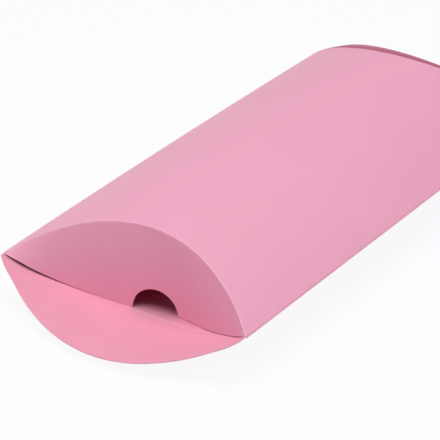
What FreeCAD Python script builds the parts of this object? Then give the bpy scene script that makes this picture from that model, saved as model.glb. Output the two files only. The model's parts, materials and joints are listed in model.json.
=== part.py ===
"""A pillow box of folding board: two arched panels, four curved end flaps and a glued side seam.

Frame: X across the box, Y along it with the open end at -Y, Z up. The origin is on the table, under the
middle of the box's outline. Lengths are in millimetres.

The blank is one creased sheet. It is modelled as the areas that its creases divide it into. Each panel is
part of a cylinder that lies along Y, and each end crease lies in a plane tilted by 45 degrees, so a closed
flap is the mirror image of the open one: part of an upright cylinder with the same radius.
"""

import os
import re

import FreeCAD
import Part

DIMENSIONS = {
    # the folded box, between its creases
    "box_width": 165,
    "box_length": 295,
    "panel_rise": 27.5,
    # the board and its creases
    "board_thickness": 0.5,
    "score_width": 1.5,
    "score_thickness": 0.3,
    "side_fold_rise": 1.2,
    # the end flaps
    "flap_tip_inset": 3,
    "notch_radius": 14,
    # the side seam
    "glue_tab_width": 14,
    "glue_tab_end_gap": 18,
    "glue_tab_taper": 6,
    "glue_thickness": 0.1,
    "bond_gap": 0.05,
    "glue_line_width": 7,
    "glue_line_inset": 4,
    "glue_line_end_gap": 30,
    # clearances
    "crease_gap": 0.65,
    "open_crease_gap": 0.3,
    "free_edge_gap": 0.6,
    "nest_gap": 0.3,
    "cut_overrun": 20,
}

doc = FreeCAD.newDocument("PillowBox")
sheet = doc.addObject("Spreadsheet::Sheet", "Dimensions")
for row, (alias, value) in enumerate(DIMENSIONS.items(), start=1):
    sheet.set(f"A{row}", alias)
    sheet.set(f"B{row}", str(value))
    sheet.setAlias(f"B{row}", alias)
doc.recompute()


def sized(text):
    """The text of an expression, with each dimension's name pointed at its cell."""
    return re.sub("[a-z_]+", lambda word: f"Dimensions.{word[0]}", text)


# Sizes that follow from the driving ones, as expressions.
HALF_WIDTH = "(box_width / 2)"
RADIUS = f"(({HALF_WIDTH} * {HALF_WIDTH} + panel_rise * panel_rise) / (2 * panel_rise))"
AXIS_OFFSET = f"({RADIUS} - panel_rise)"
INNER_FLAP_SETBACK = "(board_thickness + nest_gap)"
FLAP_REACH = "(panel_rise - free_edge_gap)"
SIDE_LEVEL = "panel_rise"
FRONT_LINE = f"(({FLAP_REACH} - box_length) / 2)"
REAR_LINE = f"(({FLAP_REACH} + box_length) / 2)"
NONE = "0"

UPRIGHT = FreeCAD.Rotation()
ALONG_Y = FreeCAD.Rotation(FreeCAD.Vector(1, 0, 0), -90)
# turns a wedge's own X, Y and Z to the part's Y, Z and X
WEDGE_TURN = FreeCAD.Rotation(FreeCAD.Vector(1, 1, 1), 120)


def bind(item, **sizes):
    """Bind the properties of an object to expressions, such as Radius or Placement.Base.y."""
    for name, text in sizes.items():
        item.setExpression(name.replace("__", "."), sized(text))
    return item


def lying_cylinder(name, radius, level):
    """A cylinder along the whole box, with its axis at a level."""
    item = doc.addObject("Part::Cylinder", name)
    item.Placement = FreeCAD.Placement(FreeCAD.Vector(), ALONG_Y)
    return bind(
        item,
        Radius=radius,
        Height="box_length + 2 * panel_rise + 2 * cut_overrun",
        Placement__Base__y=f"{FRONT_LINE} - panel_rise - cut_overrun",
        Placement__Base__z=level,
    )


def standing_cylinder(name, radius, axis_y):
    """An upright cylinder past the box's whole height."""
    item = doc.addObject("Part::Cylinder", name)
    item.Placement = FreeCAD.Placement(FreeCAD.Vector(), UPRIGHT)
    return bind(
        item,
        Radius=radius,
        Height="2 * panel_rise + 2 * cut_overrun",
        Placement__Base__y=axis_y,
        Placement__Base__z="-cut_overrun",
    )


def slab(name, low, high, near, far, x_from="-box_width", x_to="box_width"):
    """A block from level low to level high. near and far give its ends in Y at the low level and the high one."""
    item = doc.addObject("Part::Wedge", name)
    item.Placement = FreeCAD.Placement(FreeCAD.Vector(), WEDGE_TURN)
    return bind(
        item,
        Ymin=low,
        Ymax=high,
        Xmin=near[0],
        X2min=near[1],
        Xmax=far[0],
        X2max=far[1],
        Zmin=x_from,
        Z2min=x_from,
        Zmax=x_to,
        Z2max=x_to,
    )


def cut(name, base, tool):
    item = doc.addObject("Part::Cut", name)
    item.Base, item.Tool = base, tool
    return item


def common(name, *shapes):
    item = doc.addObject("Part::MultiCommon", name)
    item.Shapes = list(shapes)
    return item


def fuse(name, *shapes):
    item = doc.addObject("Part::MultiFuse", name)
    item.Shapes = list(shapes)
    return item


sub_parts = []


def sub_part(item, label):
    item.Label = label
    sub_parts.append(item)
    return item


# The arched sheets: a cylinder for each face of the board, above and below the side creases.
TOP_AXIS = f"({SIDE_LEVEL} - {AXIS_OFFSET})"
BOTTOM_AXIS = f"({SIDE_LEVEL} + {AXIS_OFFSET})"
INSIDE_RADIUS = f"({RADIUS} - board_thickness)"
SCORE_RADIUS = f"({RADIUS} - score_thickness)"
GLUE_OUTER_RADIUS = f"({INSIDE_RADIUS} - bond_gap)"
GLUE_INNER_RADIUS = f"({GLUE_OUTER_RADIUS} - glue_thickness)"
TAB_OUTER_RADIUS = f"({GLUE_INNER_RADIUS} - bond_gap)"
TAB_INNER_RADIUS = f"({TAB_OUTER_RADIUS} - board_thickness)"

top_outer = lying_cylinder("TopOuter", RADIUS, TOP_AXIS)
top_inner = lying_cylinder("TopInner", INSIDE_RADIUS, TOP_AXIS)
top_score = lying_cylinder("TopScore", SCORE_RADIUS, TOP_AXIS)
bottom_outer = lying_cylinder("BottomOuter", RADIUS, BOTTOM_AXIS)
bottom_inner = lying_cylinder("BottomInner", INSIDE_RADIUS, BOTTOM_AXIS)
bottom_score = lying_cylinder("BottomScore", SCORE_RADIUS, BOTTOM_AXIS)

top_sheet = cut("TopSheet", top_outer, top_inner)
bottom_sheet = cut("BottomSheet", bottom_outer, bottom_inner)
top_thin_sheet = cut("TopThinSheet", top_outer, top_score)
bottom_thin_sheet = cut("BottomThinSheet", bottom_outer, bottom_score)


def above(rise):
    return f"{SIDE_LEVEL} + {rise}"


def below(rise):
    return f"{SIDE_LEVEL} - {rise}"


# Each end crease runs in from its corners by as much as it rises, so the ends of a block slope by 45 degrees.
CLEAR_RISE = "(panel_rise + cut_overrun)"
FOLD_RISE = "side_fold_rise"


def front_end(low_rise, high_rise, inset):
    return f"{FRONT_LINE} + {low_rise} + {inset}", f"{FRONT_LINE} + {high_rise} + {inset}"


def rear_end(low_rise, high_rise, inset):
    return f"{REAR_LINE} - {low_rise} - {inset}", f"{REAR_LINE} - {high_rise} - {inset}"


def panel(label, arched_sheet, is_top):
    """A panel from fold to fold and from score to score."""
    inset = f"({INNER_FLAP_SETBACK if is_top else NONE} + score_width)"
    low, high = (FOLD_RISE, CLEAR_RISE) if is_top else (CLEAR_RISE, FOLD_RISE)
    levels = (above(low), above(high)) if is_top else (below(low), below(high))
    block = slab(f"{label}_block", *levels, front_end(low, high, inset), rear_end(low, high, inset))
    return sub_part(common(f"{label}_solid", arched_sheet, block), label)


def crease(label, thin_sheet, is_top, end):
    """The scored band at one end of a panel, crushed thinner than the board."""
    start = INNER_FLAP_SETBACK if is_top else NONE
    finish = f"({start} + score_width)"
    low, high = (FOLD_RISE, CLEAR_RISE) if is_top else (CLEAR_RISE, FOLD_RISE)
    levels = (above(low), above(high)) if is_top else (below(low), below(high))
    outer_end, inner_end = end(low, high, start), end(low, high, finish)
    ends = (outer_end, inner_end) if end is front_end else (inner_end, outer_end)
    return sub_part(common(f"{label}_solid", thin_sheet, slab(f"{label}_block", *levels, *ends)), label)


panel("top_panel", top_sheet, True)
panel("bottom_panel", bottom_sheet, False)
crease("front_top_crease", top_thin_sheet, True, front_end)
crease("front_bottom_crease", bottom_thin_sheet, False, front_end)
crease("rear_top_crease", top_thin_sheet, True, rear_end)
crease("rear_bottom_crease", bottom_thin_sheet, False, rear_end)


def side_fold(label, x_from, x_to):
    """The bend between the panels along one side, with both arches running into it."""
    upper_block = slab(
        f"{label}_upper_block",
        above(NONE),
        above(FOLD_RISE),
        front_end(NONE, FOLD_RISE, INNER_FLAP_SETBACK),
        rear_end(NONE, FOLD_RISE, INNER_FLAP_SETBACK),
        x_from,
        x_to,
    )
    lower_block = slab(
        f"{label}_lower_block",
        below(FOLD_RISE),
        below(NONE),
        front_end(FOLD_RISE, NONE, NONE),
        rear_end(FOLD_RISE, NONE, NONE),
        x_from,
        x_to,
    )
    upper = common(f"{label}_upper", top_sheet, upper_block)
    lower = common(f"{label}_lower", bottom_sheet, lower_block)
    return sub_part(fuse(f"{label}_solid", upper, lower), label)


side_fold("left_side_fold", "-box_width", NONE)
side_fold("right_side_fold", NONE, "box_width")

# The glue tab turns in from the bottom panel's right edge and lies under the top panel.
tab_outer = lying_cylinder("TabOuter", TAB_OUTER_RADIUS, TOP_AXIS)
tab_inner = lying_cylinder("TabInner", TAB_INNER_RADIUS, TOP_AXIS)
TAB_INNER_EDGE = f"({HALF_WIDTH} - glue_tab_width)"
tab_block = doc.addObject("Part::Wedge", "TabBlock")
# this wedge narrows across the box, from the fold to the tab's free edge
tab_block.Placement = FreeCAD.Placement(
    FreeCAD.Vector(), FreeCAD.Rotation(FreeCAD.Vector(0, 0, 1), 90)
)
bind(
    tab_block,
    Ymin=f"-{HALF_WIDTH}",
    Ymax=f"-{TAB_INNER_EDGE}",
    Xmin=f"{FRONT_LINE} + glue_tab_end_gap",
    X2min=f"{FRONT_LINE} + glue_tab_end_gap + glue_tab_taper",
    Xmax=f"{REAR_LINE} - glue_tab_end_gap",
    X2max=f"{REAR_LINE} - glue_tab_end_gap - glue_tab_taper",
    Zmin=SIDE_LEVEL,
    Z2min=SIDE_LEVEL,
    Zmax=above(CLEAR_RISE),
    Z2max=above(CLEAR_RISE),
)
sub_part(common("GlueTab", cut("TabSheet", tab_outer, tab_inner), tab_block), "glue_tab")

glue_outer = lying_cylinder("GlueOuter", GLUE_OUTER_RADIUS, TOP_AXIS)
glue_inner = lying_cylinder("GlueInner", GLUE_INNER_RADIUS, TOP_AXIS)
GLUE_OUTER_EDGE = f"({HALF_WIDTH} - glue_line_inset)"
glue_block = slab(
    "GlueBlock",
    SIDE_LEVEL,
    above(CLEAR_RISE),
    (f"{FRONT_LINE} + glue_line_end_gap",) * 2,
    (f"{REAR_LINE} - glue_line_end_gap",) * 2,
    f"{GLUE_OUTER_EDGE} - glue_line_width",
    GLUE_OUTER_EDGE,
)
sub_part(common("GlueLine", cut("GlueSheet", glue_outer, glue_inner), glue_block), "glue_line")

# The closed flaps stand upright in the ends of the box, inside both arches.
under_top = lying_cylinder("UnderTopCrease", f"{INSIDE_RADIUS} - crease_gap", TOP_AXIS)
over_bottom = lying_cylinder("OverBottomCrease", f"{INSIDE_RADIUS} - crease_gap", BOTTOM_AXIS)
short_of_bottom = lying_cylinder("ShortOfBottom", f"{INSIDE_RADIUS} - free_edge_gap", BOTTOM_AXIS)
short_of_top = lying_cylinder("ShortOfTop", f"{RADIUS} - free_edge_gap", TOP_AXIS)
between_tips = slab(
    "BetweenTips",
    "-cut_overrun",
    above(CLEAR_RISE),
    (f"{FRONT_LINE} - {CLEAR_RISE}",) * 2,
    (f"{REAR_LINE} + {CLEAR_RISE}",) * 2,
    f"flap_tip_inset - {HALF_WIDTH}",
    f"{HALF_WIDTH} - flap_tip_inset",
)


def standing_sheet(label, axis_y):
    outer_face = standing_cylinder(f"{label}_outer_face", RADIUS, axis_y)
    inner_face = standing_cylinder(f"{label}_inner_face", f"{RADIUS} + board_thickness", axis_y)
    return cut(f"{label}_sheet", inner_face, outer_face)


def inner_flap(label, axis_y, middle_y):
    """A closed flap folded down from the top panel, with a round thumb notch in its free edge."""
    wall = common(f"{label}_wall", standing_sheet(label, axis_y), under_top, short_of_bottom, between_tips)
    notch = doc.addObject("Part::Cylinder", f"{label}_notch")
    notch.Placement = FreeCAD.Placement(FreeCAD.Vector(), ALONG_Y)
    bind(
        notch,
        Radius="notch_radius",
        Height="2 * cut_overrun",
        Placement__Base__y=f"{middle_y} - cut_overrun",
        Placement__Base__z="board_thickness + free_edge_gap",
    )
    return sub_part(cut(f"{label}_solid", wall, notch), label)


FRONT_INNER_LINE = f"({FRONT_LINE} + {INNER_FLAP_SETBACK})"
REAR_INNER_LINE = f"({REAR_LINE} - {INNER_FLAP_SETBACK})"
inner_flap("front_inner_flap", f"{FRONT_INNER_LINE} - {AXIS_OFFSET}", f"{FRONT_INNER_LINE} + panel_rise")
inner_flap("rear_inner_flap", f"{REAR_INNER_LINE} + {AXIS_OFFSET}", f"{REAR_INNER_LINE} - panel_rise")

# The rear outer flap is closed over the inner one, from the bottom panel up to the top crease.
rear_outer_sheet = standing_sheet("rear_outer_flap", f"{REAR_LINE} + {AXIS_OFFSET}")
rear_outer = common("rear_outer_flap_solid", rear_outer_sheet, over_bottom, short_of_top, between_tips)
sub_part(rear_outer, "rear_outer_flap")

# The front outer flap lies open, as the bottom panel's arch carried on past its crease.
open_block = slab(
    "OpenFlapBlock",
    below(CLEAR_RISE),
    below(FOLD_RISE),
    (f"{FRONT_LINE} - {CLEAR_RISE} + free_edge_gap", f"{FRONT_LINE} - {FOLD_RISE} + free_edge_gap"),
    (f"{FRONT_LINE} + {CLEAR_RISE} - open_crease_gap", f"{FRONT_LINE} + {FOLD_RISE} - open_crease_gap"),
)
sub_part(common("front_outer_flap_solid", bottom_sheet, open_block, between_tips), "front_outer_flap")

doc.recompute()
faults = [item.Name for item in doc.Objects if {"Invalid", "Error"} & set(item.State)]
for item in sub_parts:
    if item.Shape.isNull() or not item.Shape.isValid() or len(item.Shape.Solids) != 1:
        faults.append(item.Label)
if faults:
    raise RuntimeError(f"these objects failed: {faults}")

os.makedirs("parts", exist_ok=True)
for item in sub_parts:
    item.Shape.exportStep(f"parts/{item.Label}.step")
    box = item.Shape.BoundBox
    print(
        f"{item.Label}: volume {item.Shape.Volume:.1f}, "
        f"x {box.XMin:.2f} to {box.XMax:.2f}, y {box.YMin:.2f} to {box.YMax:.2f}, "
        f"z {box.ZMin:.2f} to {box.ZMax:.2f}"
    )
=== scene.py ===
# %% [markdown]
# # A pillow box folded from one sheet of pink board
#
# A pillow box is one cut and creased sheet. Two panels bulge apart into an arch, and the curved creases
# at each end let a pair of lens-shaped flaps swing in to close it. Nothing on it is soft or moulded:
# the whole look comes from bent sheet, crisp creases, raw cut edges and the light caught between them.
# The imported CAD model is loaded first, and every piece below is made in that same frame, in metres.

# %% 1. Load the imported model
import json
import math

import bpy
import numpy as np
from mathutils import Matrix, Vector


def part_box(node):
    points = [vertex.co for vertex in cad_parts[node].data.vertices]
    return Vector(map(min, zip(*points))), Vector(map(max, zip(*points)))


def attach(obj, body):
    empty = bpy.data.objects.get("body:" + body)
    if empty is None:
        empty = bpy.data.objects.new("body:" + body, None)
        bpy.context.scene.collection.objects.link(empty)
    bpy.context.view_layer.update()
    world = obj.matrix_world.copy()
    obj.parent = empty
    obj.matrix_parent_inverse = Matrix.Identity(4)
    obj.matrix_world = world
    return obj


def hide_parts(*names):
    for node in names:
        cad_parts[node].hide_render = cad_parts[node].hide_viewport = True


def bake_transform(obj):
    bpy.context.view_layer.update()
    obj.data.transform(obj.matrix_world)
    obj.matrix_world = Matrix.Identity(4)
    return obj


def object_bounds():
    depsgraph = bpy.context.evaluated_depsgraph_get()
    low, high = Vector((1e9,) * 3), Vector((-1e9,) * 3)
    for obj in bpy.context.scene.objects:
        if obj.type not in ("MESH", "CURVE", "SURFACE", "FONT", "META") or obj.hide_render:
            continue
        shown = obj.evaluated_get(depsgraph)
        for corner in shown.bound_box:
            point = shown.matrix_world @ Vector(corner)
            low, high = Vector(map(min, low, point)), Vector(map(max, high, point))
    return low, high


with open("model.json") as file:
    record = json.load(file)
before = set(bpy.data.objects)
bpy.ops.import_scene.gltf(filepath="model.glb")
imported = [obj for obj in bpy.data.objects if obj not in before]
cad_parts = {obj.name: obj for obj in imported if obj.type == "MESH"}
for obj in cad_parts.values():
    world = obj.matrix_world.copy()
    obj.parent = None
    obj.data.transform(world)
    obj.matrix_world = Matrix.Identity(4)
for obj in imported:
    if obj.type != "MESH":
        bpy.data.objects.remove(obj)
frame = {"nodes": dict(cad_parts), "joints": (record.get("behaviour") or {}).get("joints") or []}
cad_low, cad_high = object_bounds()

MM = 0.001
print("nodes:", ", ".join(sorted(frame["nodes"])))

# %% [markdown]
# ## The lines that everything hangs on
#
# On the real box four points matter most: the corners, where the side folds meet the end creases.
# They could be typed in again, but then they could drift away from the CAD model. The left side fold
# runs from corner to corner, so its box gives the width, both corner lines and the level of the folds.

# %% 2. Corner lines from the frame
fold_low, fold_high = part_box("left_side_fold")
HALF_WIDTH = -fold_low.x
FRONT_LINE, REAR_LINE = fold_low.y, fold_high.y
LENGTH = REAR_LINE - FRONT_LINE
SIDE_LEVEL = (fold_low.z + fold_high.z) / 2
CROWN = SIDE_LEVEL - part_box("front_bottom_crease")[0].z
print(f"half width {HALF_WIDTH:.4f}, length {LENGTH:.4f}, folds at {SIDE_LEVEL:.4f}, crown {CROWN:.4f}")

# %% [markdown]
# ## Camera
#
# The photograph looks down on one end from the right. The camera could be aimed by eye, but the corner
# points and creases were matched by least squares instead, which gives the angles, the distance and
# the lens together. The view is described from the middle of the front corner line.

# %% 3. Camera
FRAME_PIXELS = 440
SENSOR = 36.0
azimuth, elevation, roll = (math.radians(angle) for angle in (38.326, 29.181, -3.446))
view_right, view_up, view_back = 51.240 * MM, 38.932 * MM, 1157.273 * MM
FOCAL_PIXELS = 2205.309

back = Vector((math.sin(azimuth) * math.cos(elevation), -math.cos(azimuth) * math.cos(elevation),
               math.sin(elevation)))
level = Vector((math.cos(azimuth), math.sin(azimuth), 0.0))
upright = back.cross(level)
right = math.cos(roll) * level + math.sin(roll) * upright
up = -math.sin(roll) * level + math.cos(roll) * upright

camera = bpy.data.objects.new("camera", bpy.data.cameras.new("camera"))
bpy.context.scene.collection.objects.link(camera)
camera.data.sensor_width = SENSOR
camera.data.lens = FOCAL_PIXELS / FRAME_PIXELS * SENSOR
camera.data.clip_start, camera.data.clip_end = 0.05, 50.0
camera.location = (Vector((0.0, FRONT_LINE, SIDE_LEVEL))
                   + view_right * right + view_up * up + view_back * back)
camera.rotation_euler = Matrix((right, up, back)).transposed().to_euler()
bpy.context.scene.camera = camera
bpy.context.scene.view_settings.view_transform = "Standard"
print(f"camera {camera.data.lens:.1f} mm at {[round(v, 3) for v in camera.location]}")

# %% [markdown]
# ## Board grain, shared by every finish
#
# Dyed folding board looks even, but it isn't blank: fibres lie mostly along the sheet, the dye takes
# a little unevenly, and the surface has a fine tooth. An image could carry that, but it would blur
# close up. A shader node group made of three noises stays sharp, and each finish can place it with its
# own sizes. The noises read the sheet's flat layout, kept on each piece as a UV map in metres, so the
# grain follows the board round every bend.

# %% 4. Node helpers and the grain group
BLANK_MAP = "blank"
SCORE_MASK = "score"
HOLLOW_MASK = "hollow"
FIBRE_STRETCH = 0.16
TOOTH_FINENESS = 2.3


def put(tree, kind, **settings):
    """Add a node; plain names set its properties, and inputs come as a dict of socket to value or link."""
    node = tree.nodes.new(kind)
    inputs = settings.pop("inputs", {})
    for name, value in settings.items():
        setattr(node, name, value)
    for socket, value in inputs.items():
        if isinstance(value, bpy.types.NodeSocket):
            tree.links.new(value, node.inputs[socket])
        else:
            node.inputs[socket].default_value = value
    return node


def maths(tree, operation, *values):
    """One step of arithmetic in a node tree, given sockets or numbers."""
    return put(tree, "ShaderNodeMath", operation=operation, inputs=dict(enumerate(values))).outputs[0]


def new_group(name, takes, gives, kind="ShaderNodeTree"):
    """An empty node group with named inputs (type and default) and outputs."""
    group = bpy.data.node_groups.new(name, kind)
    for label, (socket_type, default) in takes.items():
        socket = group.interface.new_socket(label, in_out="INPUT", socket_type=socket_type)
        if default is not None:
            socket.default_value = default
    for label, socket_type in gives.items():
        group.interface.new_socket(label, in_out="OUTPUT", socket_type=socket_type)
    return group, group.nodes.new("NodeGroupInput"), group.nodes.new("NodeGroupOutput")


def noise(tree, where, scale, detail, roughness=0.55):
    """A soft 3-D noise from 0 to 1."""
    return put(tree, "ShaderNodeTexNoise", inputs={
        "Vector": where, "Scale": scale, "Detail": detail, "Roughness": roughness}).outputs["Fac"]


grain, grain_in, grain_out = new_group(
    "Board grain",
    {"Blank": ("NodeSocketVector", None), "Fibres per metre": ("NodeSocketFloat", 900.0),
     "Clouds per metre": ("NodeSocketFloat", 22.0)},
    {"Clouds": "NodeSocketFloat", "Fibres": "NodeSocketFloat", "Tooth": "NodeSocketFloat"})
flat_sheet, fibre_count = grain_in.outputs["Blank"], grain_in.outputs["Fibres per metre"]
along = put(grain, "ShaderNodeMapping", inputs={"Vector": flat_sheet, "Scale": (1.0, FIBRE_STRETCH, 1.0)})
clouds = noise(grain, flat_sheet, grain_in.outputs["Clouds per metre"], 3.0)
fibres = noise(grain, along.outputs[0], fibre_count, 4.0, 0.6)
tooth = noise(grain, flat_sheet, maths(grain, "MULTIPLY", fibre_count, TOOTH_FINENESS), 2.0)
grain.links.new(clouds, grain_out.inputs["Clouds"])
grain.links.new(fibres, grain_out.inputs["Fibres"])
height = maths(grain, "MULTIPLY_ADD", fibres, 0.6, maths(grain, "MULTIPLY", tooth, 0.4))
grain.links.new(height, grain_out.inputs["Tooth"])
print("group", grain.name, "with", len(grain.nodes), "nodes")

# %% [markdown]
# ## Rubbed and highlit folds
#
# Where board is bent, the top layer stretches and scuffs, so a fold shows as a slightly paler, broken
# line. Here that paler line is partly this real wear and partly a painted highlight along the crease.
# It could be painted on as a stripe, but a real one comes and goes. Here each bent piece carries a
# mask, 1 on the crease and 0 a millimetre or two away, and this group breaks it up with noise.

# %% 5. Fold wear and highlight group
FOLD_PATCHES = 160.0
fold_wear_highlight, fold_wear_highlight_in, fold_wear_highlight_out = new_group(
    "Fold wear and highlight",
    {"Blank": ("NodeSocketVector", None), "Crease": ("NodeSocketFloat", 0.0),
     "Amount": ("NodeSocketFloat", 0.5)},
    {"Rubbed and highlit": "NodeSocketFloat"})
patches = noise(fold_wear_highlight, fold_wear_highlight_in.outputs["Blank"], FOLD_PATCHES, 4.0, 0.7)
spread = put(fold_wear_highlight, "ShaderNodeMapRange",
             inputs={"Value": patches, "From Min": 0.3, "From Max": 0.7}).outputs[0]
rubbed_and_highlit = maths(fold_wear_highlight, "MULTIPLY", maths(fold_wear_highlight, "MULTIPLY", fold_wear_highlight_in.outputs["Crease"], spread),
               fold_wear_highlight_in.outputs["Amount"])
fold_wear_highlight.links.new(rubbed_and_highlit, fold_wear_highlight_out.inputs["Rubbed and highlit"])
print("group", fold_wear_highlight.name, "with", len(fold_wear_highlight.nodes), "nodes")

# %% [markdown]
# ## The finishes
#
# The board is dyed right through, so its faces, its folds and its cut edges are one pink in slightly
# different states: smooth and a little glossy outside, matt and warmer inside, rubbed on the folds, and
# open on the cut. The paler folds are partly real wear and partly a painted highlight, and the cut is
# painted paler than the faces, which is painted light that keeps shaded edges from reading as dark lines.
# Separate flat colours would look like painted plastic, so one recipe builds all four from the groups
# above, and only the tones, the grain sizes, the gloss and the depth of the bump change.
#
# Thin dyed board also lets a little light through, most of it red. Away from the creases the inner faces
# of the panels scatter light that way, and their colour is multiplied by a deeper tint, which is painted
# shade. Both are set to match the maroon behind the notch, and both are stronger than on real board.
# Together they stand in for light that bounces many times between the dyed walls.

# %% 6. Board and glue materials
# Painted shade: away from the creases, the inner faces of the panels are multiplied by this deeper, redder
# colour.
HOLLOW_SHADE = (1.14, 0.58, 0.7, 1.0)
LIGHT_REACH = (3.4, 1.4, 1.6)  # millimetres, for red, green and blue


def pink(red, green, blue):
    """A colour as read off a screen, 0 to 255, in Blender's linear values."""
    return tuple((c / 12.92 if c <= 0.04045 else ((c + 0.055) / 1.055) ** 2.4)
                 for c in (red / 255, green / 255, blue / 255)) + (1.0,)


def mix_colour(tree, factor, first, second, blend="MIX"):
    """Blend of two colours by a factor from 0 to 1."""
    node = put(tree, "ShaderNodeMix", data_type="RGBA", blend_type=blend,
               inputs={0: factor, 6: first, 7: second})
    return node.outputs[2]


def board_finish(name, dark, light, scuff_and_highlight, fibres_per_metre, tooth_depth, rub_and_highlight, rough, gloss, hollow_shade=None):
    """Dyed board: clouded dye, fibres along the sheet, fine tooth, and creases paler from wear and a
    painted highlight.

    Given a shade colour, the hollow mask multiplies it in as painted shade, and lets light through the
    board.
    """
    finish = bpy.data.materials.new(name)
    finish.use_nodes = True
    tree = finish.node_tree
    shader = tree.nodes["Principled BSDF"]
    shader.inputs["Specular IOR Level"].default_value = gloss
    blank = put(tree, "ShaderNodeUVMap", uv_map=BLANK_MAP).outputs[0]
    fibre = put(tree, "ShaderNodeGroup", node_tree=grain,
                inputs={"Blank": blank, "Fibres per metre": fibres_per_metre})
    crease = put(tree, "ShaderNodeAttribute", attribute_name=SCORE_MASK).outputs["Fac"]
    worn_and_highlit = put(tree, "ShaderNodeGroup", node_tree=fold_wear_highlight,
               inputs={"Blank": blank, "Crease": crease, "Amount": rub_and_highlight})
    tone = maths(tree, "MULTIPLY_ADD", fibre.outputs["Clouds"], 0.6,
                 maths(tree, "MULTIPLY", fibre.outputs["Fibres"], 0.4))
    # Real wear and a painted highlight: the paler scuff colour comes in along the creases.
    colour = mix_colour(tree, worn_and_highlit.outputs["Rubbed and highlit"], mix_colour(tree, tone, dark, light), scuff_and_highlight)
    # Painted shade: the hollow mask multiplies in the deeper colour, and it also sets how much light goes
    # through the board.
    if hollow_shade:
        hollow = put(tree, "ShaderNodeAttribute", attribute_name=HOLLOW_MASK).outputs["Fac"]
        colour = mix_colour(tree, hollow, colour, hollow_shade, "MULTIPLY")
        tree.links.new(hollow, shader.inputs["Subsurface Weight"])
        shader.inputs["Subsurface Radius"].default_value = LIGHT_REACH
        shader.inputs["Subsurface Scale"].default_value = MM
    tree.links.new(colour, shader.inputs["Base Color"])
    matt = maths(tree, "MULTIPLY_ADD", fibre.outputs["Fibres"], 0.14, rough - 0.07)
    tree.links.new(matt, shader.inputs["Roughness"])
    relief = put(tree, "ShaderNodeBump", inputs={"Strength": 0.5, "Distance": tooth_depth,
                                                 "Height": fibre.outputs["Tooth"]})
    tree.links.new(relief.outputs[0], shader.inputs["Normal"])
    return finish


board_face = board_finish(
    "board_face", pink(236, 160, 189), pink(244, 173, 200), pink(252, 206, 223),
    fibres_per_metre=900.0, tooth_depth=0.03 * MM, rub_and_highlight=0.6, rough=0.5, gloss=0.5)
board_fold = board_finish(
    "board_fold", pink(235, 159, 188), pink(244, 173, 200), pink(252, 208, 224),
    fibres_per_metre=1100.0, tooth_depth=0.04 * MM, rub_and_highlight=0.7, rough=0.5, gloss=0.5)
board_inside = board_finish(
    "board_inside", pink(236, 156, 180), pink(244, 170, 193), pink(253, 212, 225),
    fibres_per_metre=800.0, tooth_depth=0.05 * MM, rub_and_highlight=0.62, rough=0.72, gloss=0.3, hollow_shade=HOLLOW_SHADE)
# Painted light: the cut edge is paler than the faces, so that in shade it doesn't read as a dark line.
board_cut_lightened = board_finish(
    "board_cut_lightened", pink(228, 152, 178), pink(247, 190, 210), pink(240, 190, 208),
    fibres_per_metre=3200.0, tooth_depth=0.06 * MM, rub_and_highlight=0.0, rough=0.8, gloss=0.3)

dried_glue = bpy.data.materials.new("dried_glue")
dried_glue.use_nodes = True
glue_tree = dried_glue.node_tree
glue_shader = glue_tree.nodes["Principled BSDF"]
glue_shader.inputs["IOR"].default_value = 1.47
glue_blank = put(glue_tree, "ShaderNodeUVMap", uv_map=BLANK_MAP).outputs[0]
streaks = put(glue_tree, "ShaderNodeGroup", node_tree=grain,
              inputs={"Blank": glue_blank, "Fibres per metre": 300.0, "Clouds per metre": 60.0})
glue_colour = mix_colour(glue_tree, streaks.outputs["Clouds"], pink(226, 196, 200), pink(245, 226, 226))
glue_tree.links.new(glue_colour, glue_shader.inputs["Base Color"])
glue_shine = maths(glue_tree, "MULTIPLY_ADD", streaks.outputs["Fibres"], 0.3, 0.15)
glue_tree.links.new(glue_shine, glue_shader.inputs["Roughness"])
print("finishes:", [m.name for m in (board_face, board_fold, board_inside, board_cut_lightened, dried_glue)])

# %% [markdown]
# ## The rule of the arch
#
# A panel that bulges between two straight side folds bends in one direction only, so it is part of a
# cylinder: every cross-section is the same arc. The crease that ends it follows that arc too, because
# a flap folded in has to stay a piece of a cylinder itself. So one curve, here `arch`, gives the
# height of a panel and the plan of its creases. A sheet folded by hand isn't perfect: the ends are
# pressed down or spring up by a millimetre or two, and the sides bow a little, as the photograph shows.

# %% 7. Arch and boards as functions
steepness = CROWN / HALF_WIDTH
ARC_RATIO = (1 + steepness**2) / (2 * steepness)
ARC_BASE = math.sqrt(ARC_RATIO**2 - 1)
END_WIDTH = (HALF_WIDTH - 0.65 * MM, HALF_WIDTH - 0.7 * MM)
END_SHIFT = (-1.45 * MM, 0.3 * MM)
SIDE_BOW, BOW_SHIFT = 0.8 * MM, -0.8 * MM
BOARD = 0.5 * MM
BEND = 0.6 * MM
FOLD_SHARE = 1.2 * MM / HALF_WIDTH

TOP = {"up": 1, "rise": (25.74 * MM, 29.5 * MM), "depth": (29.11 * MM, 26.4 * MM)}
BOTTOM = {"up": -1, "rise": (27.5 * MM, 27.5 * MM), "depth": (24.8 * MM, 27.5 * MM)}


def arch(s):
    """Height of the arc across the box, from 0 at the sides (s of -1 and 1) to 1 at the crown."""
    return (np.sqrt(ARC_RATIO**2 - np.square(s)) - ARC_BASE) / (ARC_RATIO - ARC_BASE)


def side_place(s, y):
    """Where a share s of the width lies: the sides bow, and the front end sits a little left."""
    share = (y - FRONT_LINE) / LENGTH
    bow = 1 - np.square(2 * share - 1)
    half_width = END_WIDTH[0] * (1 - share) + END_WIDTH[1] * share + SIDE_BOW * bow
    return END_SHIFT[0] * (1 - share) + END_SHIFT[1] * share + BOW_SHIFT * bow + s * half_width


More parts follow.
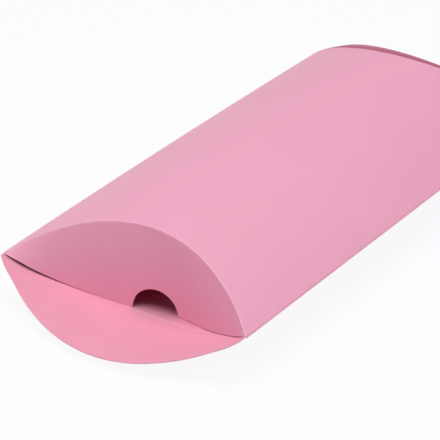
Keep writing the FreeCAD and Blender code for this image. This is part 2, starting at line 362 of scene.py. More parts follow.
def board_point(board, s, y):
    """A point on a panel's outer face, s across it and y along it."""
    s, y = np.broadcast_arrays(np.asarray(s, float), np.asarray(y, float))
    share = (y - FRONT_LINE) / LENGTH
    rise = board["rise"][0] * (1 - share) + board["rise"][1] * share
    return np.stack([side_place(s, y), y, SIDE_LEVEL + board["up"] * rise * arch(s)], -1)


print(f"arc radius {ARC_RATIO * HALF_WIDTH:.4f} m, crown at {board_point(TOP, 0.0, 0.0)}")

# %% [markdown]
# ## Two arched panels from one Geometry Nodes tree
#
# The top and bottom panels are the same rule with different numbers. Each could be drawn as a curved
# surface by itself, but one tree keeps them alike, and its named inputs say what differs. A grid is
# laid on the unit square, and Set Position bends it: across, it takes the arc; along, each line runs
# from the front crease to the rear crease. The tree also stores how far behind the nearest crease each
# point lies, from 0 to 1, which is the mask for the painted shade in the hollow.

# %% 8. Arched panel tree
PANEL_INPUTS = {
    "Front Half Width": END_WIDTH[0], "Rear Half Width": END_WIDTH[1], "Side Bow": SIDE_BOW,
    "Front Shift": END_SHIFT[0], "Rear Shift": END_SHIFT[1], "Bow Shift": BOW_SHIFT,
    "Front Line": FRONT_LINE, "Rear Line": REAR_LINE,
    "Front Rise": CROWN, "Rear Rise": CROWN, "Front Depth": CROWN, "Rear Depth": CROWN,
    "Arc Ratio": ARC_RATIO, "Bend": BEND, "Level": SIDE_LEVEL, "Up": 1.0,
    "Left Trim": FOLD_SHARE, "Right Trim": FOLD_SHARE}
takes = {label: ("NodeSocketFloat", value) for label, value in PANEL_INPUTS.items()}
PANEL_FACES = (120, 48)
HOLLOW_START, HOLLOW_FULL = 1.0 * MM, 13.0 * MM
takes["Columns"], takes["Rows"] = (("NodeSocketInt", count + 1) for count in PANEL_FACES)
takes["Board"] = ("NodeSocketMaterial", None)
panel_tree, panel_in, panel_out = new_group("Arched panel", takes, {"Geometry": "NodeSocketGeometry"},
                                            "GeometryNodeTree")
get = panel_in.outputs
sheet = put(panel_tree, "GeometryNodeMeshGrid", inputs={
    "Size X": 1.0, "Size Y": 1.0, "Vertices X": get["Columns"], "Vertices Y": get["Rows"]})
grid_place = put(panel_tree, "GeometryNodeInputPosition").outputs[0]
flat = put(panel_tree, "ShaderNodeSeparateXYZ", inputs={0: grid_place})


def m(operation, *values):
    """Arithmetic in the panel tree."""
    return maths(panel_tree, operation, *values)


def between(first, second, share):
    """Straight mix of two values in the panel tree."""
    return m("MULTIPLY_ADD", m("SUBTRACT", second, first), share, first)


across = between(m("SUBTRACT", get["Left Trim"], 1.0), m("SUBTRACT", 1.0, get["Right Trim"]),
                 m("ADD", flat.outputs["X"], 0.5))
ratio_squared = m("MULTIPLY", get["Arc Ratio"], get["Arc Ratio"])
base = m("SQRT", m("SUBTRACT", ratio_squared, 1.0))
height = m("SQRT", m("SUBTRACT", ratio_squared, m("MULTIPLY", across, across)))
arc = m("DIVIDE", m("SUBTRACT", height, base), m("SUBTRACT", get["Arc Ratio"], base))
start_y = m("ADD", m("MULTIPLY_ADD", get["Front Depth"], arc, get["Front Line"]), get["Bend"])
end_y = m("SUBTRACT", m("SUBTRACT", get["Rear Line"], m("MULTIPLY", get["Rear Depth"], arc)), get["Bend"])
place_y = between(start_y, end_y, m("ADD", flat.outputs["Y"], 0.5))
whole_run = m("SUBTRACT", get["Rear Line"], get["Front Line"])
share_y = m("DIVIDE", m("SUBTRACT", place_y, get["Front Line"]), whole_run)
centred = m("MULTIPLY_ADD", share_y, 2.0, -1.0)
bow = m("SUBTRACT", 1.0, m("MULTIPLY", centred, centred))
straight_half = between(get["Front Half Width"], get["Rear Half Width"], share_y)
half = m("MULTIPLY_ADD", get["Side Bow"], bow, straight_half)
shift = m("MULTIPLY_ADD", get["Bow Shift"], bow, between(get["Front Shift"], get["Rear Shift"], share_y))
lift = m("MULTIPLY", between(get["Front Rise"], get["Rear Rise"], share_y), arc)
flat_x = m("MULTIPLY", across, half)
# Up also mirrors the bottom panel across, so that its outer face points down.
place = put(panel_tree, "ShaderNodeCombineXYZ", inputs={
    "X": m("MULTIPLY_ADD", flat_x, get["Up"], shift), "Y": place_y,
    "Z": m("MULTIPLY_ADD", lift, get["Up"], get["Level"])})
layout = put(panel_tree, "ShaderNodeCombineXYZ", inputs={"X": flat_x, "Y": place_y})
mapped = put(panel_tree, "GeometryNodeStoreNamedAttribute", data_type="FLOAT2", domain="CORNER", inputs={
    "Geometry": sheet.outputs["Mesh"], "Name": BLANK_MAP, "Value": layout.outputs[0]})
behind = put(panel_tree, "ShaderNodeMapRange", interpolation_type="SMOOTHSTEP", inputs={
    "Value": m("MINIMUM", m("SUBTRACT", place_y, start_y), m("SUBTRACT", end_y, place_y)),
    "From Min": HOLLOW_START, "From Max": HOLLOW_FULL})
masked = put(panel_tree, "GeometryNodeStoreNamedAttribute", data_type="FLOAT", domain="POINT", inputs={
    "Geometry": mapped.outputs[0], "Name": HOLLOW_MASK, "Value": behind.outputs[0]})
bent = put(panel_tree, "GeometryNodeSetPosition", inputs={
    "Geometry": masked.outputs[0], "Position": place.outputs[0]})
real = put(panel_tree, "GeometryNodeRealizeInstances", inputs={0: bent.outputs[0]})
coated = put(panel_tree, "GeometryNodeSetMaterial", inputs={
    "Geometry": real.outputs[0], "Material": get["Board"]})
panel_tree.links.new(coated.outputs[0], panel_out.inputs[0])
print("tree", panel_tree.name, "with", len(panel_tree.nodes), "nodes")

# %% [markdown]
# ## Top and bottom boards
#
# A panel is board, not a bare surface, and its raw edge shows at the seam. The thickness could be built
# face by face, but Solidify gives it inwards in one step, and the result becomes a plain mesh. Solidify
# lists the outer faces first, then the inner ones, then the rim, so each of the three gets its own
# finish: outside, inside and cut. The top panel's right edge stays a raw cut edge, because there it is
# glued over the tab, and on the other side it runs into the fold.

# %% 9. Top and bottom boards
SHARP_EDGE = math.radians(40)
CUT_TRIM = 0.25 * MM / HALF_WIDTH


def finish_mesh(mesh):
    """Smooth faces with the cut edges left sharp."""
    mesh.shade_smooth()
    mesh.set_sharp_from_angle(angle=SHARP_EDGE)


def arched_board(name, board, right_trim):
    """One panel: the tree with this board's numbers, thickened inwards and made a plain mesh."""
    values = {"Front Rise": board["rise"][0], "Rear Rise": board["rise"][1],
              "Front Depth": board["depth"][0], "Rear Depth": board["depth"][1],
              "Up": float(board["up"]), "Right Trim": right_trim, "Board": board_face}
    holder = bpy.data.objects.new(name, bpy.data.meshes.new(name + "_start"))
    bpy.context.scene.collection.objects.link(holder)
    nodes = holder.modifiers.new("Arched panel", "NODES")
    nodes.node_group = panel_tree
    for item in panel_tree.interface.items_tree:
        if item.in_out == "INPUT" and item.name in values:
            nodes[item.identifier] = values[item.name]
    wall = holder.modifiers.new("Board thickness", "SOLIDIFY")
    wall.thickness, wall.offset, wall.use_even_offset = BOARD, -1.0, True
    shown = holder.evaluated_get(bpy.context.evaluated_depsgraph_get())
    mesh = bpy.data.meshes.new_from_object(shown)
    holder.modifiers.clear()
    holder.data = mesh
    mesh.name = name
    mesh.materials.clear()
    for material in (board_face, board_inside, board_cut_lightened):
        mesh.materials.append(material)
    skin = math.prod(PANEL_FACES)
    mesh.polygons.foreach_set("material_index", np.repeat([0, 1, 2], [skin, skin, 2 * sum(PANEL_FACES)]))
    finish_mesh(mesh)
    print(f"{name}: {len(mesh.polygons)} faces, {skin} outside, {skin} inside, the rest on the cut edges")
    return holder


top_board = arched_board("top_board", TOP, CUT_TRIM)
bottom_board = arched_board("bottom_board", BOTTOM, FOLD_SHARE)
for piece, node in ((top_board, "top_panel"), (bottom_board, "bottom_panel")):
    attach(piece, "box")
    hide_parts(node)

# %% [markdown]
# ## A sheet from two faces
#
# The folds, the seam and the flaps bend in ways that a single arc doesn't cover, so they are made in
# mesh code. Each is a grid of points on the outer face, a second grid one board thickness inside it,
# and a rim that closes the four raw edges. Making the thickness here, and not with a modifier, keeps
# each point's place in the grid known, which the flaps' turn shares need later.

# %% 10. Sheet helpers
def unit(run):
    """Directions of length 1."""
    return run / np.linalg.norm(run, axis=-1, keepdims=True)


def grid_normals(grid, outward):
    """Unit normals of a grid of points, all on the side that outward points to."""
    normals = np.cross(np.gradient(grid, axis=0), np.gradient(grid, axis=1))
    normals /= np.maximum(np.linalg.norm(normals, axis=-1, keepdims=True), 1e-12)
    return normals * np.sign((normals * outward).sum(-1).mean())


def closed_sheet(name, outer, inner, blank, materials, score=None):
    """A piece from an outer and an inner grid, with its cut edges closed by a rim."""
    columns, rows = outer.shape[:2]
    count = columns * rows
    index = np.arange(count).reshape(columns, rows)
    faces = np.stack([index[:-1, :-1], index[1:, :-1], index[1:, 1:], index[:-1, 1:]], -1).reshape(-1, 4)
    ring = np.concatenate([index[:, 0], index[-1, 1:], index[-2::-1, -1], index[0, -2:0:-1]])
    after = np.roll(ring, -1)
    rim = np.stack([after, ring, ring + count, after + count], -1)
    every = np.concatenate([faces, faces[:, ::-1] + count, rim])
    facing = np.cross(np.gradient(outer, axis=0), np.gradient(outer, axis=1))
    if (facing * (outer - inner)).sum() < 0:
        every = every[:, ::-1]
    mesh = bpy.data.meshes.new(name)
    points = np.concatenate([outer.reshape(-1, 3), inner.reshape(-1, 3)])
    mesh.from_pydata(points.tolist(), [], every.tolist())
    for material in materials:
        mesh.materials.append(material)
    slots = np.zeros(len(every), np.int32)
    slots[len(faces):] = min(1, len(materials) - 1)
    slots[2 * len(faces):] = len(materials) - 1
    mesh.polygons.foreach_set("material_index", slots)
    corner = np.zeros(len(mesh.loops), np.int32)
    mesh.loops.foreach_get("vertex_index", corner)
    flat_places = np.concatenate([blank.reshape(-1, 2)] * 2)
    mesh.uv_layers.new(name=BLANK_MAP).data.foreach_set("uv", flat_places[corner].ravel())
    if score is not None:
        mask = mesh.attributes.new(SCORE_MASK, "FLOAT", "POINT")
        mask.data.foreach_set("value", np.concatenate([score.ravel()] * 2).astype(np.float32))
    finish_mesh(mesh)
    piece = bpy.data.objects.new(name, mesh)
    bpy.context.scene.collection.objects.link(piece)
    print(f"{name}: {len(mesh.polygons)} faces")
    return piece


def rounded(first, corner, last, steps):
    """Rows of points round a bend: leaves first along the line to corner, and arrives at last."""
    t = np.linspace(0, 1, steps + 1)[None, :, None]
    return (1 - t)**2 * first[:, None] + 2 * t * (1 - t) * corner[:, None] + t**2 * last[:, None]


print("sheet helpers ready")

# %% [markdown]
# ## Side folds and the glued seam
#
# On the left the sheet simply turns round from the top panel into the bottom one. On the right the sheet
# ends: the bottom panel folds over into a narrow tab, and the top panel's cut edge is glued down over
# it, so from outside a fine raw edge shows just above the fold. Both folds are short rounded strips,
# a millimetre or so each way from the corner line, because a sharp corner would catch no light. Their
# ends are trimmed along the curved creases, so that nothing stands out at the corners.

# %% 11. Side folds
FOLD_ROWS = 61
FOLD_STEPS = 8
CORNER_GAP = 0.3 * MM
SCORE_WIDTH = 0.7 * MM
along_side = np.linspace(FRONT_LINE + CORNER_GAP, REAR_LINE - CORNER_GAP, FOLD_ROWS)


def top_normal(s, y):
    """Unit normal of the top panel's outer face."""
    step = 1e-5
    across_run = board_point(TOP, s + step, y) - board_point(TOP, s - step, y)
    return unit(np.stack([-across_run[..., 2], np.zeros_like(across_run[..., 0]), across_run[..., 0]], -1))


def under_top(s, y, depth):
    """A point below the top panel's outer face, measured square to it."""
    return board_point(TOP, s, y) - depth * top_normal(s, y)


def side_strip(name, first, corner, last, outward):
    """A rounded strip along one side, from one panel's edge to the other's, with its crest on corner."""
    outer = rounded(first, 2 * corner - (first + last) / 2, last, FOLD_STEPS)
    from_crest = np.abs(np.linspace(-1, 1, FOLD_STEPS + 1))
    trim = CORNER_GAP + CROWN * arch(1 - FOLD_SHARE * from_crest)
    share = np.linspace(0, 1, FOLD_ROWS)[:, None]
    outer[..., 1] = (FRONT_LINE + trim) * (1 - share) + (REAR_LINE - trim) * share
    inner = outer - BOARD * grid_normals(outer, outward)
    run = np.linalg.norm(np.diff(outer, axis=1), axis=-1).cumsum(1)
    run = np.concatenate([np.zeros((FOLD_ROWS, 1)), run], 1)
    blank = np.stack([run, np.broadcast_to(along_side[:, None], run.shape)], -1)
    middle = run - run[:, -1:] / 2
    score = np.exp(-np.square(middle / SCORE_WIDTH))
    piece = closed_sheet(name, outer, inner, blank, [board_fold, board_inside, board_cut_lightened], score)
    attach(piece, "box")
    return piece


def side_line(side):
    """The corner line of a side fold."""
    return np.stack([side_place(side, along_side), along_side, np.full(FOLD_ROWS, SIDE_LEVEL)], -1)


edge_share = 1 - FOLD_SHARE
left_fold = side_strip("left_fold", board_point(TOP, -edge_share, along_side), side_line(-1),
                       board_point(BOTTOM, -edge_share, along_side), Vector((-1, 0, 0)))
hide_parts("left_side_fold")

GLUE_FILM = 0.1 * MM
TAB_CLEAR = 0.05 * MM
TAB_DEPTH = BOARD + GLUE_FILM + TAB_CLEAR
BELOW_CUT = np.array([0.1, 0.0, -0.4]) * MM
tab_edge = under_top(1 - 2 * FOLD_SHARE, along_side, TAB_DEPTH)
bottom_edge = board_point(BOTTOM, edge_share, along_side)
seam_corner = side_line(1) + BELOW_CUT
right_fold = side_strip("right_fold", tab_edge, seam_corner, bottom_edge, Vector((1, 0, 0)))
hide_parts("right_side_fold")

# %% [markdown]
# ## Glue tab and glue line
#
# Inside the right edge lies the tab that holds the box together, with a flattened line of glue between
# it and the top panel. They only show when someone looks in, but they are what makes the seam a seam.
# Flat strips would be simpler, but they would cut through the curved panel. So both follow its arc, a
# board's thickness below it, and the tab's ends slope away as a die cuts them, so that they don't catch
# on the creases.

# %% 12. Seam
SEAM_COLUMNS, SEAM_ROWS = 13, 81
TAB_SLOPE = 6 * MM
GLUE_CLEAR = 0.02 * MM
GLUE_RIPPLE = 0.35 * MM
GLUE_WAVES = ((1.0, 210.0, 0.0), (0.6, 473.0, 1.3))  # strength, radians per metre, start


def seam_strip(name, node, material, shares, ends, taper, depth, thickness, ripple=0.0):
    """A strip under the top panel's right edge, with sloping or slightly uneven ends and sides."""
    s = np.linspace(shares[0], shares[1], SEAM_COLUMNS)[:, None]
    t = np.linspace(0, 1, SEAM_ROWS)[None, :]
    slope = taper * (shares[1] - s) / (shares[1] - shares[0])
    y = (ends[0] + slope) * (1 - t) + (ends[1] - slope) * t
    waves = sum(strength * np.sin(y * rate + start) for strength, rate, start in GLUE_WAVES)
    uneven = ripple * waves / HALF_WIDTH
    s = s + uneven * np.linspace(-1, 1, SEAM_COLUMNS)[:, None]
    outer, inner = under_top(s, y, depth), under_top(s, y, depth + thickness)
    piece = closed_sheet(name, outer, inner, np.stack([s * HALF_WIDTH + 0 * y, y], -1), material)
    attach(piece, "box")
    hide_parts(node)


tab_low, tab_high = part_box("glue_tab")
line_low, line_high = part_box("glue_line")
seam_strip("seam_tab", "glue_tab", [board_face, board_inside, board_cut_lightened],
           (tab_low.x / HALF_WIDTH, 1 - 2 * FOLD_SHARE), (tab_low.y, tab_high.y), TAB_SLOPE,
           TAB_DEPTH, BOARD)
seam_strip("seam_glue", "glue_line", [dried_glue],
           (line_low.x / HALF_WIDTH, line_high.x / HALF_WIDTH), (line_low.y, line_high.y), 0.0,
           BOARD + GLUE_CLEAR, GLUE_FILM, GLUE_RIPPLE)

# %% [markdown]
# ## How a flap is laid out
#
# Each end has a flap on the top panel and one on the bottom panel. A flap starts at its panel's end,
# turns round the crease and runs straight to its free edge, so it is built column by column across the
# box. Every column is worked out in two states, as the box rests and at the far end of its fold, with
# about the same length in both, because board bends but hardly stretches. A flat lens could be cut and
# bent instead, but its edge would have to be fitted to the crease. Columns crowd where the thumb notch
# is cut, so that its half circle stays round.

# %% 13. Flap columns
TIP_SHARE = 0.994
TIP_CROWDING = 0.94
PLAIN_COLUMNS, NOTCH_COLUMNS, SIDE_COLUMNS = 97, 33, 41
NOTCH_MIDDLE = -0.2 * MM
NOTCH_RADIUS = 13.7 * MM
NOTCH_HEIGHT = 14.2 * MM


def flap_shares(notched):
    """Places across the box from one blunt tip to the other, closer together round the notch."""
    quarter = math.pi / 2
    if not notched:
        turn = np.linspace(-1, 1, PLAIN_COLUMNS) * quarter * TIP_CROWDING
        return TIP_SHARE * np.sin(turn) / math.sin(quarter * TIP_CROWDING)
    notch = (NOTCH_MIDDLE + NOTCH_RADIUS * np.sin(np.linspace(-1, 1, NOTCH_COLUMNS) * quarter)) / HALF_WIDTH
    left_part = np.linspace(-TIP_SHARE, notch[0], SIDE_COLUMNS)[:-1]
    right_part = np.linspace(notch[-1], TIP_SHARE, SIDE_COLUMNS)[1:]
    return np.concatenate([left_part, notch, right_part])


def inward(end):
    """Direction along the box from an end to its middle: 1 at the front and -1 at the rear."""
    return 1 if end == 0 else -1


def crease_y(board, end, s):
    """Where a panel's crease lies along the box. End 0 is the front and 1 is the rear."""
    depth = board["depth"][end] * arch(s)
    return FRONT_LINE + depth if end == 0 else REAR_LINE - depth


def crease_point(board, end, s, past=0.0):
    """A point on a panel's crease, or on the panel some way past it towards the middle of the box."""
    return board_point(board, s, crease_y(board, end, s) + inward(end) * past)


print(f"flap tips at {TIP_SHARE:.4f} of the half width, notch radius {NOTCH_RADIUS:.4f}")

# %% [markdown]
# ## Bends and free edges
#
# At a crease the board doesn't kink, it bends over about a millimetre. A bevel on a sharp corner would
# give that too, but it would add points that belong to no column. So each column gets its own short
# bend and then straight board. A flap folded by hand never lies quite evenly, and `eased` draws its edge
# from a few places across the box, as a smooth line and not as a row of corners.

# %% 14. Flap faces and edges
BEND_STEPS = 8
BEND_SHARE = 0.4
FLAP_ROWS = 16
ROW_CROWDING = 1.25


def flap_face(board, end, s, edge, foot=0.0):
    """Outer face of a flap: a rounded bend from the panel's end, then straight board to the free edge.

    A foot moves the start of the straight board away from the crease.
    """
    corner = crease_point(board, end, s)
    start = corner + foot
    run = edge - start
    length = np.linalg.norm(run, axis=-1, keepdims=True)
    leave = start + run / length * np.minimum(BEND, BEND_SHARE * length)
    bend = rounded(crease_point(board, end, s, BEND), corner, leave, BEND_STEPS)
    share = np.linspace(0, 1, FLAP_ROWS + 1)[1:] ** ROW_CROWDING
    straight = leave[:, None] + share[None, :, None] * (edge - leave)[:, None]
    return np.concatenate([bend, straight], 1)


def opened_edge(board, end, s, edge):
    """Where a closed flap's free edge comes when the flap lies open, straight on from its panel."""
    corner = crease_point(board, end, s)
    length = np.linalg.norm(edge - corner, axis=-1, keepdims=True)
    return corner + length * unit(corner - crease_point(board, end, s, BEND))


def notch_cut(board, end, s, edge):
    """Free edge with the thumb notch, close to a half circle about the middle."""
    from_middle = (s * HALF_WIDTH - NOTCH_MIDDLE) / NOTCH_RADIUS
    bite = NOTCH_HEIGHT * np.sqrt(np.maximum(1 - np.square(from_middle), 0.0))
    return edge - unit(edge - crease_point(board, end, s)) * bite[:, None]


def half_opening(end, s):
    """Half the height between the two panels at one end."""
    return 0.5 * (TOP["rise"][end] + BOTTOM["rise"][end]) * arch(s)


def eased(x, places, values, ease=7.0):
    """A smooth curve near values given at places, in millimetres: straight runs averaged over ease."""
    offsets = np.linspace(-1, 1, 21)
    weights = 1 - np.abs(offsets)
    runs = [weight * np.interp(x / MM + offset * ease, places, values)
            for offset, weight in zip(offsets, weights)]
    return np.sum(runs, axis=0) / weights.sum()


print("flaps of", BEND_STEPS, "rows in the bend and", FLAP_ROWS, "beyond it")

# %% [markdown]
# ## Turn shares for a swing with little stretch
#
# A flap joined to the box along a curve can't turn like a door: it snaps through, and each part of it
# turns by a different amount. Shares that run along a straight line would stretch the flap at a curved
# crease. So the shares are worked out from the two states, as the turn about the hinge that each point
# needs. A flap on the top panel stops level with its open place, so that it lies flush, and one on the
# bottom panel stops where it is nearest to its far place. Round the bend the share grows row by row from
# nothing, which keeps the sheet joined to its panel.

# %% 15. Flap builder
FLUSH_STEP = 0.08 * MM
CREASE_WIDTH = 0.65 * MM
OUT_FRONT, OUT_REAR = Vector((0, -1, 0)), Vector((0, 1, 0))
UPWARD, DOWNWARD = Vector((0, 0, 1)), Vector((0, 0, -1))


def joint_named(name):
    """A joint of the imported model."""
    return next(joint for joint in frame["joints"] if joint["name"] == name)


def turn_shares(joint, rest, far, end, level):
    """Share of a hinge's travel that brings each point from its rest place to its far place.

    A point only moves on its own circle. With level it stops where it is as high as its far place, so
    that an opened flap lies flush with its panel, and otherwise where it is nearest to that place.
    """
    pivot, sense = joint["pos_m"], joint["axis"][0]
    out, rise = inward(end) * (pivot[1] - rest[..., 1]), rest[..., 2] - pivot[2]
    if level:
        height = (far[..., 2] - pivot[2] - FLUSH_STEP) / np.maximum(np.hypot(out, rise), 1e-9)
        turn = np.arcsin(np.clip(height, -1, 1)) - np.arctan2(rise, out)
    else:
        far_out, far_rise = inward(end) * (pivot[1] - far[..., 1]), far[..., 2] - pivot[2]
        turn = -sense * inward(end) * (np.arctan2(far_rise, far_out) - np.arctan2(rise, out))
    turn = (turn + math.pi) % (2 * math.pi) - math.pi
    return np.clip(turn / math.radians(joint["range_deg"][1]), 0.0, 1.0)


def flap_piece(name, board, end, s, rest_face, far_face, outward, far_outward, joint_name, nodes, bead=0.0):
    """A flap with its crease: a closed sheet, and the shares that turn_shares works out for each of its
    points.
    """
    run = np.linalg.norm(np.diff(rest_face, axis=1), axis=-1).cumsum(1)
    run = np.concatenate([np.zeros((len(s), 1)), run], 1)
    score = np.exp(-np.square((run - BEND) / CREASE_WIDTH))
    rest_normal, far_normal = grid_normals(rest_face, outward), grid_normals(far_face, far_outward)
    outer = rest_face - bead * score[..., None] * rest_normal
    inner = outer - BOARD * rest_normal
    sideways = inner[..., :1] - outer[..., :1]
    lift = (BOARD + far_normal[..., :1] * sideways) / (1 - far_normal[..., :1]**2)
    far_inner = far_face + np.concatenate([sideways, -lift * far_normal[..., 1:]], -1)
    start_y = crease_y(board, end, s) + inward(end) * BEND
    blank = np.stack([rest_face[..., 0], start_y[:, None] - inward(end) * run], -1)
    piece = closed_sheet(name, outer, inner, blank, [board_face, board_inside, board_cut_lightened], score)
    joint = joint_named(joint_name)
    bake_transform(piece)
    shares = np.stack([turn_shares(joint, outer, far_face, end, board is TOP),
                       turn_shares(joint, inner, far_inner, end, board is TOP)])
    shares[:, :, :BEND_STEPS] = shares[:, :, BEND_STEPS:BEND_STEPS + 1] * np.arange(BEND_STEPS) / BEND_STEPS
    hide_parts(*nodes)


# %% [markdown]
# ## The tucked front flap with its thumb notch
#
# This is the flap that closes the near end. It hangs from the top panel's crease and stands on the
# bottom panel. In the photograph its lower edge isn't quite even: on the left it stands out over the
# lower crease and lifts off the board near the corner, which leaves a dark wedge. Right of the notch
# it is pushed in, and it lifts a little towards that corner, which draws a fine dark line. It could hang
# straight down, but those few millimetres are what makes it look folded by hand.

# %% 16. Front tuck flap
OPEN_TILT = math.radians(5.21)
tuck_s = flap_shares(True)
tuck_x = tuck_s * HALF_WIDTH
tuck_lean = MM * eased(tuck_x, [-83, -79, -76, -68, -60, -40, -15, 13, 32, 45, 60, 75, 83],
                       [-0.5, -3.6, -5.0, -7.0, -6.8, -5.6, -3.7, 1.9, -0.7, -2.4, -2.5, -2.0, -0.5],
                       ease=4.0)
tuck_gap = MM * eased(tuck_x, [-83, -76, -70, -62, -50, -40, 15, 40, 60, 74, 80, 83],
                      [1.0, 2.2, 2.6, 1.6, 0.6, 0.3, 0.25, 0.5, 0.75, 0.85, 0.7, 0.35], ease=4.0)
tuck_crease = crease_point(TOP, 0, tuck_s)
foot_y = tuck_crease[:, 1] + tuck_lean
past_crease = np.maximum(crease_y(BOTTOM, 0, tuck_s) - foot_y, 0.0)
room = np.minimum(BOARD + tuck_gap, half_opening(0, tuck_s))
foot_z = board_point(BOTTOM, tuck_s, foot_y)[:, 2] + room + past_crease * math.tan(OPEN_TILT)
tuck_edge = notch_cut(TOP, 0, tuck_s, np.stack([tuck_crease[:, 0], foot_y, foot_z], -1))
flap_piece(
    "front_tuck_flap", TOP, 0, tuck_s, flap_face(TOP, 0, tuck_s, tuck_edge),
    flap_face(TOP, 0, tuck_s, opened_edge(TOP, 0, tuck_s, tuck_edge)), OUT_FRONT, UPWARD,
    "front_inner_fold", ("front_inner_flap", "front_top_crease"))

# %% [markdown]
# ## The open front flap
#
# The flap on the bottom panel lies open towards the viewer, a lens of board that springs up a few
# degrees from the table. Its tips are blunt, and the right one droops. It could be cut from a flat lens
# and turned, but then it would part from the curved crease, so each column leaves the crease at its own
# tilt. The crease shows as a fine raised bead where the score was pressed from below. Closed, the flap
# swings up and lies against the tucked flap, so its far state starts just outside that flap's foot and
# leans on the top crease.

# %% 17. Front cover flap
COVER_BULGE = 28.8 * MM
COVER_CLEAR = 0.9 * MM
CREASE_BEAD = 0.2 * MM
cover_s = flap_shares(False)
cover_x = cover_s * HALF_WIDTH
cover_corner = crease_point(BOTTOM, 0, cover_s)
blunt_tips = MM * eased(cover_x, [-83, -79, -66, -50, 50, 68, 78, 83],
                        [2.6, 2.6, 0.2, 0.0, 0.0, 1.2, 4.2, 4.2], ease=4.0)
cover_length = (BOTTOM["depth"][0] + COVER_BULGE) * arch(cover_s) + blunt_tips
cover_tilt = np.radians(eased(cover_x, [-83, -40, 0, 40, 68, 83], [5.2, 5.2, 5.0, 5.2, 4.6, 0.0]))
lift_run = np.stack([np.zeros_like(cover_s), -np.cos(cover_tilt), np.sin(cover_tilt)], -1)
cover_edge = cover_corner + cover_length[:, None] * lift_run
foot_of_tuck = np.interp(cover_s, tuck_s, foot_y)
cover_foot = np.zeros_like(cover_corner)
cover_foot[:, 1] = np.minimum(foot_of_tuck - COVER_CLEAR - cover_corner[:, 1], 0.0)
cover_closed = cover_corner + cover_length[:, None] * np.array([0.0, 0.0, 1.0])
cover_closed[:, 1] = crease_y(TOP, 0, cover_s) - COVER_CLEAR
flap_piece(
    "front_cover_flap", BOTTOM, 0, cover_s, flap_face(BOTTOM, 0, cover_s, cover_edge),
    flap_face(BOTTOM, 0, cover_s, cover_closed, cover_foot), DOWNWARD, OUT_FRONT,
    "front_outer_fold", ("front_outer_flap", "front_bottom_crease"), bead=CREASE_BEAD)

# %% [markdown]
# ## The closed rear end
#
# At the far end both flaps are in: the top panel's flap is tucked, and the bottom panel's flap covers it.
# The photograph shows only a dark strip there, the inner face of the covering flap, which stands a few
# millimetres away from the crease. So the cover leans out by that much, its edge runs slightly askew,
# and the tucked flap behind it is taken to be like the one at the front. Both could be left out where
# they don't show, but they have to be there when the end is opened.

# %% 18. Rear flaps
REAR_LEAN = (0.5 * MM, 1.0 * MM)
REAR_GAP = 0.4 * MM
rear_s = flap_shares(True)
rear_edge = crease_point(TOP, 1, rear_s)
rear_edge[:, 1] -= REAR_LEAN[0] + REAR_LEAN[1] * arch(rear_s)
rear_room = np.minimum(BOARD + REAR_GAP, half_opening(1, rear_s))
rear_edge[:, 2] = board_point(BOTTOM, rear_s, rear_edge[:, 1])[:, 2] + rear_room
rear_edge = notch_cut(TOP, 1, rear_s, rear_edge)
flap_piece(
    "rear_tuck_flap", TOP, 1, rear_s, flap_face(TOP, 1, rear_s, rear_edge),
    flap_face(TOP, 1, rear_s, opened_edge(TOP, 1, rear_s, rear_edge)), OUT_REAR, UPWARD,
    "rear_inner_fold", ("rear_inner_flap", "rear_top_crease"))

LEAN_OUT = 4.5 * MM
shut_s = flap_shares(False)
shut_edge = crease_point(BOTTOM, 1, shut_s)
shut_edge[:, 1] += LEAN_OUT * arch(shut_s)
shut_skew = MM * eased(shut_s * HALF_WIDTH, [-83, -58, -52, -40, -28, -14, 0, 25, 50, 83],
                       [-0.8, -0.6, -0.2, 0.95, 1.1, 0.8, 0.45, -0.27, -1.2, -2.85])
shut_edge[:, 2] = SIDE_LEVEL + (TOP["rise"][1] + shut_skew) * arch(shut_s)
flap_piece(
    "rear_cover_flap", BOTTOM, 1, shut_s, flap_face(BOTTOM, 1, shut_s, shut_edge),
    flap_face(BOTTOM, 1, shut_s, opened_edge(BOTTOM, 1, shut_s, shut_edge)), OUT_REAR, DOWNWARD,
    "rear_outer_fold", ("rear_outer_flap", "rear_bottom_crease"))

# %% [markdown]
# ## Floor and light
#
# The box is shown on plain white. A large softbox hangs overhead, a little to the front, with a weaker
# fill from the front left and one from the right rear, all white. More light could bleach the floor, but
# it would bleach the box too. Instead the floor and the world look white to the camera, and to
# reflections, while they light the box at a plain level, and the floor keeps a share of its real shading
# so that the box still casts its soft shadow.

# %% 19. Floor, world and lamps
FLOOR_SHARE = 0.92
FLOOR_HALF = 6.0
FLOOR_DROP = 0.2 * MM
WORLD_FILL = 0.1
WHITE = (1.0, 1.0, 1.0, 1.0)


def seen_directly(tree):
    """1 for what the camera, a reflection or a clear piece sees, and 0 for light on surfaces."""
    path = tree.nodes.new("ShaderNodeLightPath")
    either = maths(tree, "MAXIMUM", path.outputs["Is Camera Ray"], path.outputs["Is Glossy Ray"])
    return maths(tree, "MAXIMUM", either, path.outputs["Is Transmission Ray"])


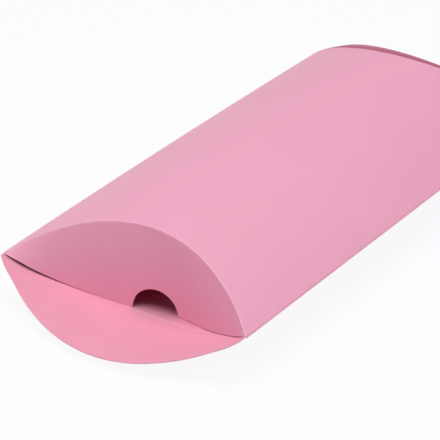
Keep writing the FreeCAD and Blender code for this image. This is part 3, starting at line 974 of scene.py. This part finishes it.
floor_level = cad_low.z - FLOOR_DROP
corners = [(x * FLOOR_HALF, y * FLOOR_HALF, floor_level) for x, y in ((-1, -1), (1, -1), (1, 1), (-1, 1))]
floor_mesh = bpy.data.meshes.new("floor")
floor_mesh.from_pydata(corners, [], [(0, 1, 2, 3)])
floor = bpy.data.objects.new("floor", floor_mesh)
bpy.context.scene.collection.objects.link(floor)
paper = bpy.data.materials.new("floor_white")
paper.use_nodes = True
paper_tree = paper.node_tree
paper_tree.nodes.remove(paper_tree.nodes["Principled BSDF"])
matt_white = put(paper_tree, "ShaderNodeBsdfDiffuse", inputs={"Color": (0.9, 0.9, 0.9, 1.0)})
plain_white = put(paper_tree, "ShaderNodeEmission", inputs={"Color": WHITE, "Strength": 1.0})
white_share = maths(paper_tree, "MULTIPLY", seen_directly(paper_tree), FLOOR_SHARE)
mixed = put(paper_tree, "ShaderNodeMixShader",
            inputs={0: white_share, 1: matt_white.outputs[0], 2: plain_white.outputs[0]})
paper_tree.links.new(mixed.outputs[0], paper_tree.nodes["Material Output"].inputs["Surface"])
floor_mesh.materials.append(paper)

world = bpy.data.worlds.new("studio")
world.use_nodes = True
bpy.context.scene.world = world
sky = world.node_tree
sky.nodes.clear()
fill = put(sky, "ShaderNodeBackground", inputs={"Color": WHITE, "Strength": WORLD_FILL})
white = put(sky, "ShaderNodeBackground", inputs={"Color": WHITE, "Strength": 1.0})
both = put(sky, "ShaderNodeMixShader",
           inputs={0: seen_directly(sky), 1: fill.outputs[0], 2: white.outputs[0]})
sky.links.new(both.outputs[0], put(sky, "ShaderNodeOutputWorld").inputs["Surface"])

aim = Vector((0.0, 0.0, SIDE_LEVEL))


def softbox(name, place, power, size):
    """A square white lamp that faces the box."""
    lamp = bpy.data.objects.new(name, bpy.data.lights.new(name, "AREA"))
    bpy.context.scene.collection.objects.link(lamp)
    lamp.data.energy, lamp.data.size = power, size
    lamp.location = place
    lamp.rotation_euler = (aim - Vector(place)).to_track_quat("-Z", "Y").to_euler()
    print(f"{name}: {power} W at {place}")


softbox("overhead", (0.08, -0.28, 1.45), 18.5, 1.1)
softbox("front_fill", (-0.7, -2.0, 0.55), 6.0, 1.2)
softbox("right_fill", (1.6, 0.9, 1.0), 5.0, 1.0)
